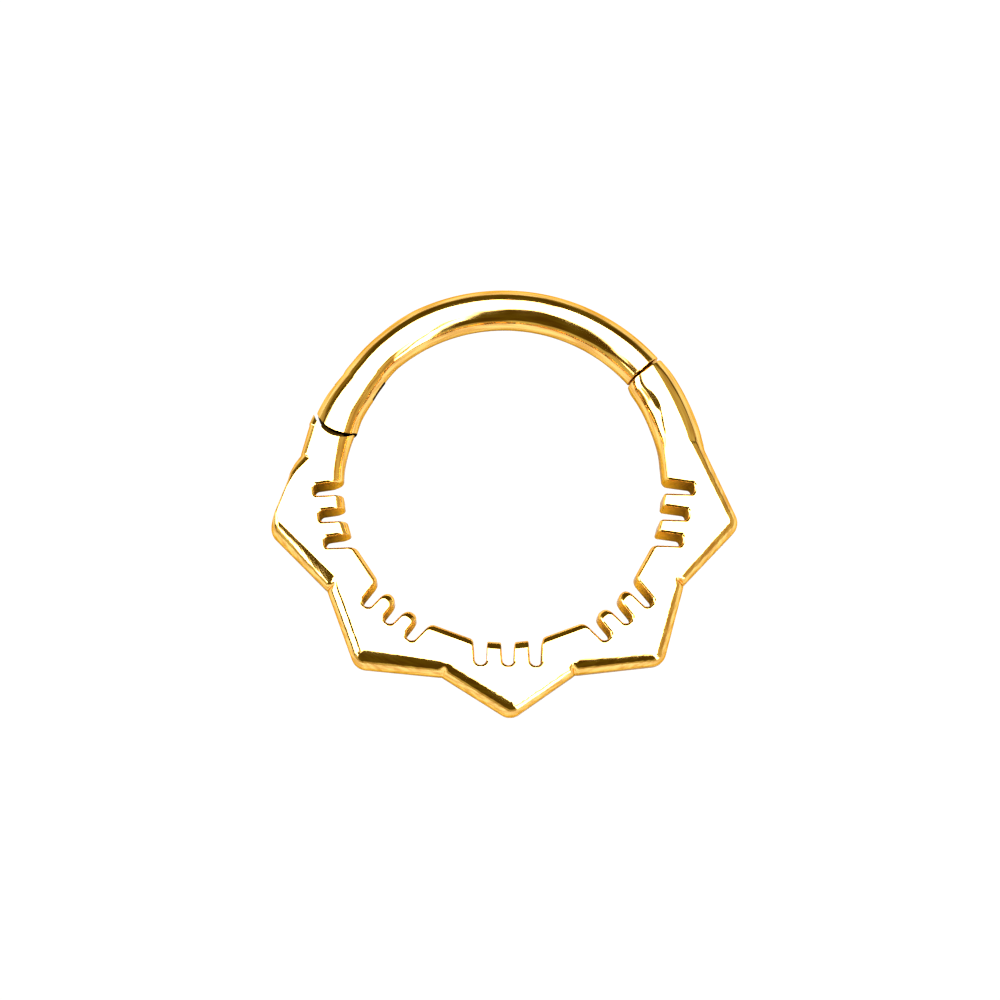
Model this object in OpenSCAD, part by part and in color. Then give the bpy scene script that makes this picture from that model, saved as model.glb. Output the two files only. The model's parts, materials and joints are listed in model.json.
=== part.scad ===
// Septum clicker: a hinged nose ring, with a round bar above and a scalloped plate of five petals below.
// The ring lies on its back on the plane z = 0. Its centre is over the origin, +Y points to the bar
// and +Z out of the front face. Angles are counted from +X, and the plate runs from the hinge on the
// left, round below, to the closure on the right. All sizes are in millimetres.

/* [Ring] */
// Inside diameter of the ring
inner_d = 10; // [9:0.5:12]
// Diameter of the round bar, and thickness of the plate
bar_d = 1.25; // [1.2:0.05:1.4]
// Angle of the seam where the bar's free end meets the plate
close_deg = 39.2; // [38:0.2:41]
// Angle of the hinge pin
hinge_deg = 152; // [151:0.2:153]

/* [Petals] */
// How far a petal's tip stands out from the ring's inside, before it is rounded
tip_out = 2.2; // [1.9:0.05:2.6]
// How far the valley between two petals stands out
valley_out = 1.16; // [1.1:0.02:1.4]
// Length of each side of a rounded tip
tip_round = 0.3; // [0.1:0.05:0.4]
// Rounding of the plate's outer edge, as a share of half the thickness
outer_edge = 0.72; // [0.4:0.02:0.9]
// Rounding of the plate's inner edge between the petals, as a share of half the thickness
inner_edge = 0.22; // [0.1:0.02:0.3]
// How far the plate's inside stands in from the bar's
rim_in = 0.15; // [0:0.01:0.2]
// How far the plate's inside lies to the left of the bar's
rim_shift = 0.06; // [0:0.01:0.1]

/* [Slots] */
// Width of a slot
slot_w = 0.44; // [0.3:0.02:0.5]
// Distance between two slots
slot_pitch = 0.81; // [0.7:0.01:1]
// How far the slots' ends lie from the ring's inside
slot_out = 0.6; // [0.4:0.02:0.6]

/* [Hinge and closure] */
// Radius of the bar's rounded hinge end
knuckle_r = 1; // [0.9:0.05:1.1]
// Gap between the rounded end and its seat
hinge_gap = 0.12; // [0.08:0.02:0.16]
// Diameter of the hinge pin
pin_d = 0.4; // [0.3:0.05:0.45]
// Thickness of the hinge tongue
tongue_t = 0.4; // [0.3:0.05:0.45]
// Gap at the closure's seam
close_gap = 0.08; // [0.06:0.02:0.12]
// Depth of the closure's tongue in the plate
catch_l = 0.4; // [0.2:0.05:0.45]

/* [Hidden] */
$fn = 48;

ring_r = inner_d / 2;
mid_r = ring_r + bar_d / 2;
mid_z = bar_d / 2;

// How far cutters run past the faces that they cut
past = 1;

// Clearances: round the pin, beside the tongues, and under the blind end of the pin's hole
pin_fit = 0.03;
tongue_fit = 0.04;
pin_end_fit = 0.02;

// The pin stands a little inside the bar's centre line. It starts just above the back, and the metal
// of the front covers its other end
pin_in = 0.075;
pin_foot = 0.07;
pin_cover = 0.22;
hinge_at = polar(mid_r - pin_in, hinge_deg);
// The hinge's tongue points from the pin to the middle of its seat, where its root holds it
tongue_lean = 5;
tongue_deg = hinge_deg + 90 + tongue_lean;
tongue_w = 0.76;
tongue_root = 0.4;
fork_fit = 0.1;
// The bar's arc runs this many degrees past the pin before its end is cut round
knuckle_run = 18;

// The closure's tongue lies on an arc about the hinge pin, so that it slides in its notch
close_at = polar(mid_r, close_deg) - hinge_at;
catch_out = 0.08;
catch_r = norm(close_at) + catch_out;
catch_deg = atan2(close_at.y, close_at.x);
catch_w = 0.4;
catch_t = 0.36;
catch_root = 0.35;
// The plate's sections run this many degrees past the closure, where its end is cut off
close_run = 3;

// One row for each corner of the plate's arms: angle, how far the outer edge stands out from the
// ring's inside, shares of roundness of the inner and outer edge, length of the corner's rounding
HINGE_ARM = [
    [hinge_deg + 2, 1.27, 0.50, 0.60, 0],
    [162.0, 1.30, 0.45, 0.60, 0.30],
    [171.0, 1.33, 0.32, 0.66, 0.25]
];
CLOSURE_ARM = [
    [369.8, 1.20, 0.30, 0.74, 0.25],
    [375.5, 1.22, 0.45, 0.80, 0.30],
    [382.0, 1.25, 0.68, 0.86, 0.32],
    [388.5, 1.28, 0.86, 0.92, 0.32],
    [394.5, 1.30, 0.94, 0.95, 0.32],
    [360 + close_deg + close_run, 1.28, 0.97, 0.97, 0]
];
// One row for each petal, from the left: angle of its tip and how much more than the others it stands
// out, the same two for the valley after it, then for its slots the angle of the middle one, their
// turn from that ray, how much further out than the others they end, and the inner edge's rounding
// between them
PETALS = [
    [190.8, 0.10, 210.4, 0.10, 190.0, -5, 0.14, 0.44],
    [230.5, -0.04, 251.2, -0.03, 230.0, -1, -0.05, 0.28],
    [270.4, -0.09, 289.1, -0.04, 270.0, 0, 0, 0.44],
    [310.1, 0.01, 329.7, 0.02, 309.6, 1, -0.02, 0.30],
    [349.8, 0.02, 0, 0, 349.3, 5, 0.02, 0.20]
];
petal_count = len(PETALS);
valley_round = 0.12;

function polar(r, deg) = [r * cos(deg), r * sin(deg)];
function unit(v) = v / norm(v);
// Angle of a point of the plate, counted on past 360 up the right arm
function plate_deg(p) = let(a = atan2(p.y, p.x)) a < 100 ? a + 360 : a;

// Corners of the plate's outer edge, in the same columns as the arms. The last petal's valley is the
// first corner of the closure's arm
TIPS = [for (p = PETALS) [p[0], tip_out + p[1], p[7], outer_edge, tip_round]];
VALLEYS = [for (p = PETALS) [p[2], valley_out + p[3], inner_edge, outer_edge, valley_round]];
SCALLOPS = concat([for (i = [0:petal_count - 2]) each [TIPS[i], VALLEYS[i]]], [TIPS[petal_count - 1]]);
ROWS = concat(HINGE_ARM, SCALLOPS, CLOSURE_ARM);
CORNERS = [for (row = ROWS) polar(ring_r + row[1], row[0])];
INNER_ROUND = [for (row = ROWS) [row[0], row[2] * mid_z]];
OUTER_ROUND = [for (row = ROWS) [row[0], row[3] * mid_z]];

// A corner as a quadratic curve between two points, one on each of its sides
corner_steps = 5;
function corner(i) =
    let(
        p = CORNERS[i],
        len = ROWS[i][4],
        from = p + len * unit(CORNERS[i - 1] - p),
        to = p + len * unit(CORNERS[i + 1] - p)
    )
    [for (k = [0:corner_steps])
        let(t = k / corner_steps)
            (1 - t) * (1 - t) * from + 2 * t * (1 - t) * p + t * t * to];
last_row = len(ROWS) - 1;
KNOTS = concat(
    [CORNERS[0]],
    [for (i = [1:last_row - 1]) each corner(i)],
    [CORNERS[last_row]]
);
// Straight stretches are cut into steps, because the inside of the ring is round
step_l = 0.5;
OUTLINE = concat(
    [for (i = [0:len(KNOTS) - 2])
        let(a = KNOTS[i], b = KNOTS[i + 1], n = ceil(norm(b - a) / step_l))
            each [for (k = [0:n - 1]) a + (b - a) * k / n]],
    [CORNERS[last_row]]
);

// The plate's inside: a circle a little smaller than the bar's and moved to the left, drawn out to the
// bar's circle at both ends. Between two groups of slots it is a straight chord
RIM = [
    [hinge_deg, 0.4 * rim_in],
    [171, rim_in],
    [340, rim_in],
    [387, 1.6 * rim_in],
    [360 + close_deg + close_run, 0.2 * rim_in]
];
chord_half_deg = 7.4;
function chord_dip(deg) =
    let(
        off = min([for (i = [0:petal_count - 2]) abs(deg - (PETALS[i][4] + PETALS[i + 1][4]) / 2)])
    )
        off < chord_half_deg ? cos(chord_half_deg) / cos(off) : 1;
function rim_point(deg) = polar((ring_r - lookup(deg, RIM)) * chord_dip(deg) - rim_shift * cos(deg), deg);

// A section of the plate: a rectangle whose inner and outer corners are rounded, as a loop of points
arc_steps = 4;
function section(outer) =
    let(
        deg = plate_deg(outer),
        inner = rim_point(deg),
        w = norm(outer - inner),
        out = unit(outer - inner),
        ri = lookup(deg, INNER_ROUND),
        ro = lookup(deg, OUTER_ROUND),
        arcs = [
            [ri, bar_d - ri, ri, 180],
            [w - ro, bar_d - ro, ro, 90],
            [w - ro, ro, ro, 0],
            [ri, ri, ri, -90]
        ]
    )
    [for (arc = arcs, k = [0:arc_steps])
        let(
            a = arc[3] - 90 * k / arc_steps,
            flat = inner + out * (arc[0] + arc[2] * cos(a))
        )
            [flat.x, flat.y, arc[1] + arc[2] * sin(a)]];

// The plate before its slots and hinge are cut: the sections, joined from the hinge to the closure
module plate_blank() {
    per_ring = 4 * (arc_steps + 1);
    rings = len(OUTLINE);
    points = [for (p = OUTLINE) each section(p)];
    sides = [
        for (j = [0:rings - 2], i = [0:per_ring - 1])
            let(a = j * per_ring + i, b = j * per_ring + (i + 1) % per_ring)
                each [[a, b + per_ring, b], [a, a + per_ring, b + per_ring]]
    ];
    start_cap = [for (i = [0:per_ring - 1]) i];
    end_cap = [for (i = [0:per_ring - 1]) rings * per_ring - 1 - i];
    polyhedron(points, concat(sides, [start_cap, end_cap]));
}

// One slot, cut straight through: its round end is at the origin, and it opens along -X
module slot() {
    depth = bar_d + 2 * past;
    len = slot_out + past;
    translate([0, 0, -past]) {
        cylinder(d = slot_w, h = depth);
        translate([-len, -slot_w / 2, 0]) cube([len, slot_w, depth]);
    }
}

// The three slots of each petal
module slots() {
    for (p = PETALS)
        rotate(p[4])
            for (side = [-1:1])
                translate([ring_r + slot_out + p[6] - slot_w / 2, side * slot_pitch, 0])
                    rotate(p[5]) slot();
}

// A tongue that points along +X from the pin's centre, with a round end
module hinge_tongue(len) {
    translate([0, 0, mid_z - tongue_t / 2]) {
        cylinder(d = tongue_w, h = tongue_t);
        translate([0, -tongue_w / 2, 0]) cube([len, tongue_w, tongue_t]);
    }
}

// The arc-shaped tongue of the closure, larger on every side by a clearance
module catch_tongue(depth, fit) {
    start = catch_deg - (depth + close_gap) * 180 / PI / catch_r;
    sweep = (depth + close_gap + catch_root) * 180 / PI / catch_r;
    translate(hinge_at)
        rotate(start)
            rotate_extrude(angle = sweep)
                translate([catch_r - catch_w / 2 - fit, mid_z - catch_t / 2 - fit])
                    square([catch_w + 2 * fit, catch_t + 2 * fit]);
}

// The block that cuts off the plate's end, square to the ring, at the closure
module closure_cut() {
    side = bar_d + 2 * past;
    rotate(close_deg) translate([ring_r - past, 0, -past]) cube(side);
}

// The hole for the hinge pin, drilled from the back and closed at the front
module pin_hole() {
    translate([hinge_at.x, hinge_at.y, -past])
        cylinder(d = pin_d + 2 * pin_fit, h = past + bar_d - pin_cover + pin_end_fit);
}

// The cast plate: petals, slots, both arms, the hinge's seat and tongue, and the closure's notch
module petal_plate() {
    color("gold")
        difference() {
            union() {
                difference() {
                    plate_blank();
                    slots();
                    translate([hinge_at.x, hinge_at.y, -past])
                        cylinder(r = knuckle_r + hinge_gap, h = bar_d + 2 * past);
                    closure_cut();
                    catch_tongue(catch_l + tongue_fit, tongue_fit);
                }
                translate(hinge_at) rotate(tongue_deg)
                    hinge_tongue(knuckle_r + hinge_gap + tongue_root);
            }
            pin_hole();
        }
}

// The round bar: an arc of wire with a rounded, forked hinge end and the closure's tongue
module hinged_bar() {
    start = close_deg + close_gap * 180 / PI / mid_r;
    fork_back = tongue_w / 2 + fork_fit;
    color("gold") {
        difference() {
            rotate(start)
                rotate_extrude(angle = hinge_deg + knuckle_run - start)
                    translate([mid_r, mid_z]) circle(d = bar_d);
            // Everything past the hinge pin that its rounded end doesn't hold
            difference() {
                rotate(hinge_deg)
                    rotate_extrude(angle = knuckle_run + past)
                        translate([ring_r - past, -past]) square(bar_d + 2 * past);
                translate([hinge_at.x, hinge_at.y, -2 * past])
                    cylinder(r = knuckle_r, h = bar_d + 4 * past);
            }
            // The fork that takes the plate's tongue
            translate([hinge_at.x, hinge_at.y, mid_z - tongue_t / 2 - tongue_fit])
                rotate(tongue_deg)
                    translate([-fork_back, -bar_d, 0])
                        cube([fork_back + 2 * knuckle_r, 2 * bar_d, tongue_t + 2 * tongue_fit]);
            pin_hole();
        }
        catch_tongue(catch_l, 0);
    }
}

// The hinge pin: a plain round pin across the fork
module hinge_pin() {
    color("goldenrod")
        translate([hinge_at.x, hinge_at.y, pin_foot])
            cylinder(d = pin_d, h = bar_d - pin_cover - pin_foot);
}

petal_plate();
hinged_bar();
hinge_pin();
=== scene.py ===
"""Looks of a polished gold septum clicker that lies on its back on a lit white table.

The ring's centre is over the origin, +Y points to the round bar and +Z out of the front face. Shapes are
worked out in millimetres and turned to metres when their mesh is made. Angles are in degrees, counted
from +X, and the plate's run on past 360 up its right arm.
"""

import json
import logging
import math
from dataclasses import dataclass, field
from enum import Enum

import bmesh
import bpy
import numpy as np
from mathutils import Matrix, Vector


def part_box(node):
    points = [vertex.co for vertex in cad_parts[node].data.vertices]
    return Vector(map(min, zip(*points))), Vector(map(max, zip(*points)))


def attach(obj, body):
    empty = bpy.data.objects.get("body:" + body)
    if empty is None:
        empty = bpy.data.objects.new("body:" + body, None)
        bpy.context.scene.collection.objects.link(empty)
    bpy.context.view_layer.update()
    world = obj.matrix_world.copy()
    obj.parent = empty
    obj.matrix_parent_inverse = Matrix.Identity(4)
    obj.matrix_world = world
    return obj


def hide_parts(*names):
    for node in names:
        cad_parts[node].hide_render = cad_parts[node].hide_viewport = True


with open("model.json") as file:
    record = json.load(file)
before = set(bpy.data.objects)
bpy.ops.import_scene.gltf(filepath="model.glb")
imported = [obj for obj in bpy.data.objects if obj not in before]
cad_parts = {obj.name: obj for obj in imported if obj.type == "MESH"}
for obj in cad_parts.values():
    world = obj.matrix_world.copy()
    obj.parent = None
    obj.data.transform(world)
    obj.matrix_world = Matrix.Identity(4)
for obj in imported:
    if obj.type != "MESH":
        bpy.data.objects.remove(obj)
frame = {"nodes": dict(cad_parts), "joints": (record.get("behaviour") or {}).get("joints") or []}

LOG = logging.getLogger("septum_clicker")
MM = 0.001

# Steps of each corner's curve, and levels of the rounding from a face down to half the thickness
CORNER_STEPS = 8
LEVELS = 28
# Reach of a corner's curve that runs half-way along both of its sides
FAR = 100.0
# Least reach of a corner's curve, and the sine of the least turn at which its two moved sides meet
LEAST_SOFT = 0.03
LEAST_TURN = 0.3
# Heights that are clear of the ring, for cutters that run past its back and its front
UNDER, OVER = -1.0, 2.0
# Distances in metres under which points are merged and edges are taken out
MERGED = 1e-8
VANISHED = 1e-9
# Least height of a level face's unit normal
LEVEL = 0.99999


def polar(radius: np.ndarray | float, deg: np.ndarray | float) -> np.ndarray:
    """Gives the points at a distance and an angle from the ring's centre.

    Args:
        radius: Distance in millimetres.
        deg: Angle in degrees.

    Returns:
        An array whose last axis is x and y.
    """
    rad = np.radians(deg)
    return np.stack([radius * np.cos(rad), radius * np.sin(rad)], axis=-1)


def unit(vectors: np.ndarray) -> np.ndarray:
    """Gives the vectors, each at length one."""
    return vectors / np.maximum(np.linalg.norm(vectors, axis=-1, keepdims=True), 1e-12)


def arc(centre: np.ndarray, radius: float, start: float, end: float, steps: int = 24) -> np.ndarray:
    """Gives points on an arc.

    Args:
        centre: Centre of the arc.
        radius: Its radius.
        start: Angle of its first point.
        end: Angle of its last point.
        steps: Number of steps.

    Returns:
        Points of shape (steps + 1, 2).
    """
    return centre + polar(radius, np.linspace(start, end, steps + 1))


def linear_rgb(hex_code: str) -> tuple[float, float, float, float]:
    """Turns an sRGB hex colour into linear RGBA.

    Args:
        hex_code: Six hex digits after a hash sign.

    Returns:
        Linear red, green and blue, with an alpha of one.
    """
    srgb = np.array([int(hex_code[i : i + 2], 16) for i in (1, 3, 5)]) / 255
    linear = np.where(srgb <= 0.04045, srgb / 12.92, ((srgb + 0.055) / 1.055) ** 2.4)
    return (*(float(v) for v in linear), 1.0)


def add_node(
    tree: bpy.types.NodeTree, kind: str, links: dict | None = None, **settings: object
) -> bpy.types.Node:
    """Adds a node with its settings and the links into it.

    Args:
        tree: Node tree that takes the node.
        kind: Blender's name of the node type.
        links: Input name or number to the output socket, or the plain value, that goes into it.
        settings: Properties of the node itself.

    Returns:
        The new node.
    """
    node = tree.nodes.new(kind)
    for name, value in settings.items():
        setattr(node, name, value)
    for key, value in (links or {}).items():
        if isinstance(value, bpy.types.NodeSocket):
            tree.links.new(value, node.inputs[key])
        else:
            node.inputs[key].default_value = value
    return node


@dataclass(frozen=True)
class Sizes:
    """Sizes that the pieces share, in millimetres, read from the frame where it holds them.

    Attributes:
        inner_r: Radius of the ring's inside.
        knuckle_r: Radius of the bar's rounded end about the hinge pin, at the ring's inside.
        knuckle_fall: How much smaller that radius is at the ring's outside.
        knuckle_power: How soon it falls on the way out: evenly at 1, and sooner below it.
        hinge_gap: Gap between the rounded end and its seat, before it is shared out along the seam.
        close_deg: Angle of the closure's seam.
        close_gap: Gap at that seam.
        tongue_t: Thickness of the hinge's tongue.
        tongue_w: Its width.
        tongue_lean: Turn of the tongue from square to the pin's radius.
        tongue_fit: Gap over and under the hinge's tongue, and on every side of the closure's.
        fork_fit: Gap between the hinge's tongue and the fork's end.
        pin_hole_d: Diameter of the pin's hole.
        pin_hole_top: Height of its blind end.
        catch_w: Width of the closure's tongue.
        catch_t: Its thickness.
        catch_l: How far it reaches into the plate.
        catch_root: How far it runs back into the bar.
        catch_out: How much further from the pin it lies than the middle of the bar's section.
    """

    inner_r: float = 5.0
    knuckle_r: float = 1.0
    knuckle_fall: float = 0.13
    knuckle_power: float = 0.8
    hinge_gap: float = 0.12
    close_deg: float = 39.2
    close_gap: float = 0.08
    tongue_t: float = 0.4
    tongue_w: float = 0.76
    tongue_lean: float = 5.0
    tongue_fit: float = 0.04
    fork_fit: float = 0.1
    pin_hole_d: float = 0.46
    pin_hole_top: float = 1.05
    catch_w: float = 0.4
    catch_t: float = 0.36
    catch_l: float = 0.4
    catch_root: float = 0.35
    catch_out: float = 0.08

    @property
    def thick(self) -> float:
        """Thickness of the plate and the bar."""
        return float(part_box("petal_plate")[1][2]) / MM

    @property
    def pin(self) -> np.ndarray:
        """Place of the hinge pin's axis."""
        return np.array(frame["joints"][0]["pos_m"][:2]) / MM

    @property
    def pin_r(self) -> float:
        """Distance of the hinge pin from the ring's centre."""
        return float(np.hypot(*self.pin))

    @property
    def pin_deg(self) -> float:
        """Angle of the hinge pin."""
        return math.degrees(math.atan2(self.pin[1], self.pin[0]))

    @property
    def tongue_deg(self) -> float:
        """Direction from the hinge pin along the tongue, into the plate."""
        return self.pin_deg + 90 + self.tongue_lean

    def knuckle_reach(self, radius: np.ndarray | float) -> np.ndarray:
        """Gives how far the bar's rounded end reaches from the pin, at distances from the ring's centre.

        It is knuckle_r - knuckle_fall share^knuckle_power, with the share of the way out from the inside.
        """
        share = np.clip((np.asarray(radius) - self.inner_r) / self.thick, 0, 1)
        return self.knuckle_r - self.knuckle_fall * share**self.knuckle_power

    def seam_deg(self, radius: np.ndarray | float, reach: np.ndarray | float) -> np.ndarray:
        """Gives where circles about the ring's centre leave a circle about the hinge pin.

        By the law of cosines: pin_deg + acos((radius^2 + pin_r^2 - reach^2) / (2 radius pin_r)).

        Args:
            radius: Distances from the ring's centre.
            reach: Radius of the circle about the pin.

        Returns:
            Angles in degrees.
        """
        cosine = (radius**2 + self.pin_r**2 - reach**2) / (2 * radius * self.pin_r)
        return self.pin_deg + np.degrees(np.arccos(np.clip(cosine, -1, 1)))


class Finish(Enum):
    """Place of each finish among the materials of a piece."""

    POLISHED = 0
    # Rough grain, with painted shade that darkens the walls of the slots and the closure
    ROUGH_WITH_PAINTED_SHADE = 1
    # Darker painted shade on the walls inside the hinge and the closure
    SHADED = 2


class Carve(Enum):
    """What a tool does to the mesh that it is used on."""

    JOIN = "UNION"
    CUT = "DIFFERENCE"


@dataclass(frozen=True)
class Edge:
    """How an edge of the plate is worn round by polishing.

    It is a quarter of an ellipse, with a straight facet let into it where it has the facet's slope.

    Attributes:
        width: How far the ellipse reaches in over the face.
        depth: How far it reaches down the side.
        facet: Length of the facet.
        lean: Slope of the facet, 0 for level.
        finish: Finish of the side below the rounding.
        crease: Whether the face meets the facet at a crease, without the ellipse's part above it.
    """

    width: float
    depth: float
    facet: float = 0.0
    lean: float = 35.0
    finish: Finish = Finish.POLISHED
    crease: bool = False

    @property
    def fall(self) -> float:
        """How far the rounding and the facet reach down the side."""
        return self.depth + self.facet * math.sin(math.radians(self.lean))


def creased(width: float, depth: float, facet: float, lean: float) -> Edge:
    """Gives an edge whose facet starts at a crease."""
    return Edge(width, depth, facet, lean, crease=True)


@dataclass(frozen=True)
class Corner:
    """A corner of the plate's outline.

    Attributes:
        place: Where it is, in the plan.
        soft: How far the corner's curve reaches along each side.
        before: Edge that comes into the corner.
        after: Edge that leaves it, the same one if none is given.
    """

    place: np.ndarray
    soft: float
    before: Edge
    after: Edge | None = None

    @property
    def edges(self) -> tuple[Edge, Edge]:
        """Edge that comes into the corner and edge that leaves it."""
        return self.before, self.after or self.before


def placed(rows: list[tuple[float, float, float, Edge]]) -> list[Corner]:
    """Gives the corners of a table that has the distance, angle, rounding and edge of each."""
    return [Corner(polar(radius, deg), soft, edge) for radius, deg, soft, edge in rows]


@dataclass(frozen=True)
class Petal:
    """A petal with its three slots.

    Attributes:
        tip_deg: Angle of the tip.
        tip_r: Distance of the sharp tip from the centre.
        edges: Edges along the flank before the tip, at its start and at the tip, and along the flank
            after it, at the tip and at its end.
        slots_deg: Angle of the middle slot.
        turn: Turn of the slots from that angle.
        slot_end: Distance of the middle slot's end from the centre.
        slant: How much further out each slot ends than the one before it, counter-clockwise.
        slot_soft: Rounding of the slots' ends.
        tooth: Edge of the two teeth between the slots.
        mouth_soft: Rounding of the teeth's corners.
        rim_soft: Rounding of the corners between the outer slots and the inside's straight stretches.
        rim_r: Radius of the plate's inside at the petal.
    """

    tip_deg: float
    tip_r: float
    edges: tuple[Edge, Edge, Edge, Edge]
    slots_deg: float
    turn: float
    slot_end: float
    slant: float
    slot_soft: float
    tooth: Edge
    mouth_soft: float
    rim_soft: float
    rim_r: float


def edge_inset(edges: list[Edge], drop: np.ndarray) -> np.ndarray:
    """Gives how far each edge's surface lies in from the side, at each drop below the face.

    The ellipse has the facet's slope at the angle f with tan(f) = width tan(lean) / depth, where its drop
    is depth (1 - cos(f)). Its inset at a drop t is width (1 - sqrt(1 - (1 - t / depth)^2)). Above the
    facet the inset is larger by the facet's run, and below it the drop is larger by the facet's fall. A
    creased edge leaves out the part above the facet.

    Args:
        edges: Edges, one for each row of the result.
        drop: Drops below the face, one for each column.

    Returns:
        Insets in millimetres.
    """
    width, depth, facet, lean = (
        np.array([[getattr(edge, name)] for edge in edges]) for name in ("width", "depth", "facet", "lean")
    )
    lean = np.radians(lean)
    upper = depth * (1 - np.cos(np.arctan2(width * np.sin(lean), depth * np.cos(lean))))
    skipped = np.where([[edge.crease] for edge in edges], upper, 0)
    start = upper - skipped
    fall = np.maximum(facet * np.sin(lean), 1e-9)
    below = np.clip(drop - start - fall, 0, None)
    rest = np.clip(1 - (skipped + np.minimum(drop, start) + below) / depth, 0, 1)
    passed = np.clip((drop - start) / fall, 0, 1)
    return width * (1 - np.sqrt(1 - rest**2)) + facet * np.cos(lean) * (1 - passed)


def slab_rings(corners: list[Corner], drop: np.ndarray) -> np.ndarray:
    """Gives the outline of a slab at each drop below its face, with rounded corners and edges.

    At each level a corner is where its two sides meet once each is moved in by its own edge's inset, and
    a rational quadratic curve of weight cos(turn / 2), which is an arc of a circle where both reaches
    are equal, leads from one side to the other.

    Args:
        corners: Corners in order, with the material on the left.
        drop: Drops below the face.

    Returns:
        Points of shape (corners * (CORNER_STEPS + 1), drops, 2).
    """
    place = np.array([corner.place for corner in corners])
    along = unit(np.roll(place, -1, axis=0) - place)
    inward = np.stack([-along[:, 1], along[:, 0]], axis=1)
    u, v = np.roll(inward, 1, axis=0)[:, None], inward[:, None]
    in_u, in_v = (edge_inset([corner.edges[i] for corner in corners], drop)[..., None] for i in (0, 1))
    cross = u[..., :1] * v[..., 1:] - u[..., 1:] * v[..., :1]
    dot = np.sum(u * v, axis=-1, keepdims=True)
    steep = np.abs(cross) > LEAST_TURN
    safe = np.where(steep, cross, 1)
    across_v = np.stack([v[..., 1], -v[..., 0]], axis=-1)
    across_u = np.stack([-u[..., 1], u[..., 0]], axis=-1)
    meet = (in_u * across_v + in_v * across_u) / safe
    slide = (in_u + in_v) / 2 * (u + v) / (1 + dot)
    at = place[:, None] + np.where(steep, meet, slide)

    leave = np.roll(at, -1, axis=0) - at
    enter = np.roll(leave, 1, axis=0)
    half = np.minimum(np.linalg.norm(leave, axis=-1), np.linalg.norm(enter, axis=-1)) / 2
    soft = np.array([[corner.soft] for corner in corners])
    lost = np.where(cross > 0, np.minimum(in_u, in_v) * np.abs(cross) / (1 + dot), 0)[..., 0]
    reach = np.minimum(np.maximum(soft - lost, np.minimum(soft, LEAST_SOFT)), half)[..., None]
    start, end = at - reach * unit(enter), at + reach * unit(leave)
    t = np.linspace(0, 1, CORNER_STEPS + 1)[None, :, None, None]
    weight = (2 * t * (1 - t)) * np.sqrt((1 + dot) / 2)[:, None]
    total = (1 - t) ** 2 + weight + t**2
    curve = ((1 - t) ** 2 * start[:, None] + weight * at[:, None] + t**2 * end[:, None]) / total
    return curve.reshape(-1, len(drop), 2)


def grid_faces(rows: int, columns: int, close_rows: bool, close_columns: bool) -> np.ndarray:
    """Gives the four-cornered faces of a grid of points that are numbered row by row.

    Args:
        rows: Number of rows.
        columns: Number of columns.
        close_rows: Whether the last row joins the first.
        close_columns: Whether the last column joins the first.

    Returns:
        Point numbers of shape (faces, 4).
    """
    i, j = np.meshgrid(
        np.arange(rows if close_rows else rows - 1),
        np.arange(columns if close_columns else columns - 1),
        indexing="ij",
    )
    i, j = i.ravel(), j.ravel()
    i2, j2 = (i + 1) % rows, (j + 1) % columns
    return np.stack([i * columns + j, i * columns + j2, i2 * columns + j2, i2 * columns + j], axis=1)


def make_mesh(name: str, points: np.ndarray, faces: list, finishes: np.ndarray) -> bpy.types.Mesh:
    """Makes a mesh from points in millimetres, with its doubles merged.

    Args:
        name: Name of the mesh.
        points: Points of shape (n, 3).
        faces: Lists of point numbers.
        finishes: Number of the finish of each face.

    Returns:
        The mesh, in metres.
    """
    mesh = bpy.data.meshes.new(name)
    mesh.from_pydata((points * MM).tolist(), [], faces)
    mesh.polygons.foreach_set("material_index", finishes.astype(np.int32))
    work = bmesh.new()
    work.from_mesh(mesh)
    bmesh.ops.remove_doubles(work, verts=work.verts, dist=MERGED)
    bmesh.ops.dissolve_degenerate(work, edges=work.edges, dist=VANISHED)
    work.to_mesh(mesh)
    work.free()
    return mesh


def prism(name: str, outline: np.ndarray, low: float, high: float) -> bpy.types.Mesh:
    """Makes an upright prism whose faces take the darkest painted shade, for the insides of the hinge and
    the closure.

    Args:
        name: Name of the mesh.
        outline: Points of its outline in millimetres, counter-clockwise.
        low: Height of its underside.
        high: Height of its top.

    Returns:
        The closed mesh.
    """
    count = len(outline)
    points = np.vstack([np.c_[outline, np.full(count, z)] for z in (high, low)])
    sides = grid_faces(2, count, False, True)[:, ::-1]
    top = list(range(count))
    finishes = np.full(count + 2, Finish.SHADED.value)
    return make_mesh(name, points, [*sides.tolist(), top, [count + i for i in reversed(top)]], finishes)


def inner_prism(name: str, outline: np.ndarray, sizes: Sizes, half_t: float) -> bpy.types.Mesh:
    """Makes a prism that reaches as far above the middle of the ring's thickness as below it."""
    middle = sizes.thick / 2
    return prism(name, outline, middle - half_t, middle + half_t)


def carved(
    body: bpy.types.Mesh, tools: list[tuple[Carve, bpy.types.Mesh]], finishes: list[bpy.types.Material]
) -> bpy.types.Mesh:
    """Joins other closed meshes to a mesh, or cuts them out of it.

    Args:
        body: Mesh to start from.
        tools: The other meshes in order, each with what it does.
        finishes: Materials in the order of Finish.

    Returns:
        The mesh that results.
    """
    for mesh in [body, *(mesh for _, mesh in tools)]:
        for finish in finishes:
            mesh.materials.append(finish)
    holder = bpy.data.objects.new(body.name, body)
    bpy.context.scene.collection.objects.link(holder)
    helpers = []
    for step, (carve, mesh) in enumerate(tools):
        helper = bpy.data.objects.new(f"tool_{step}", mesh)
        bpy.context.scene.collection.objects.link(helper)
        modifier = holder.modifiers.new(f"carve_{step}", "BOOLEAN")
        modifier.operation = carve.value
        modifier.object = helper
        modifier.solver = "EXACT"
        helpers.append(helper)
    graph = bpy.context.evaluated_depsgraph_get()
    result = bpy.data.meshes.new_from_object(holder.evaluated_get(graph))
    for item in [holder, *helpers]:
        bpy.data.objects.remove(item)
    return result


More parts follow.
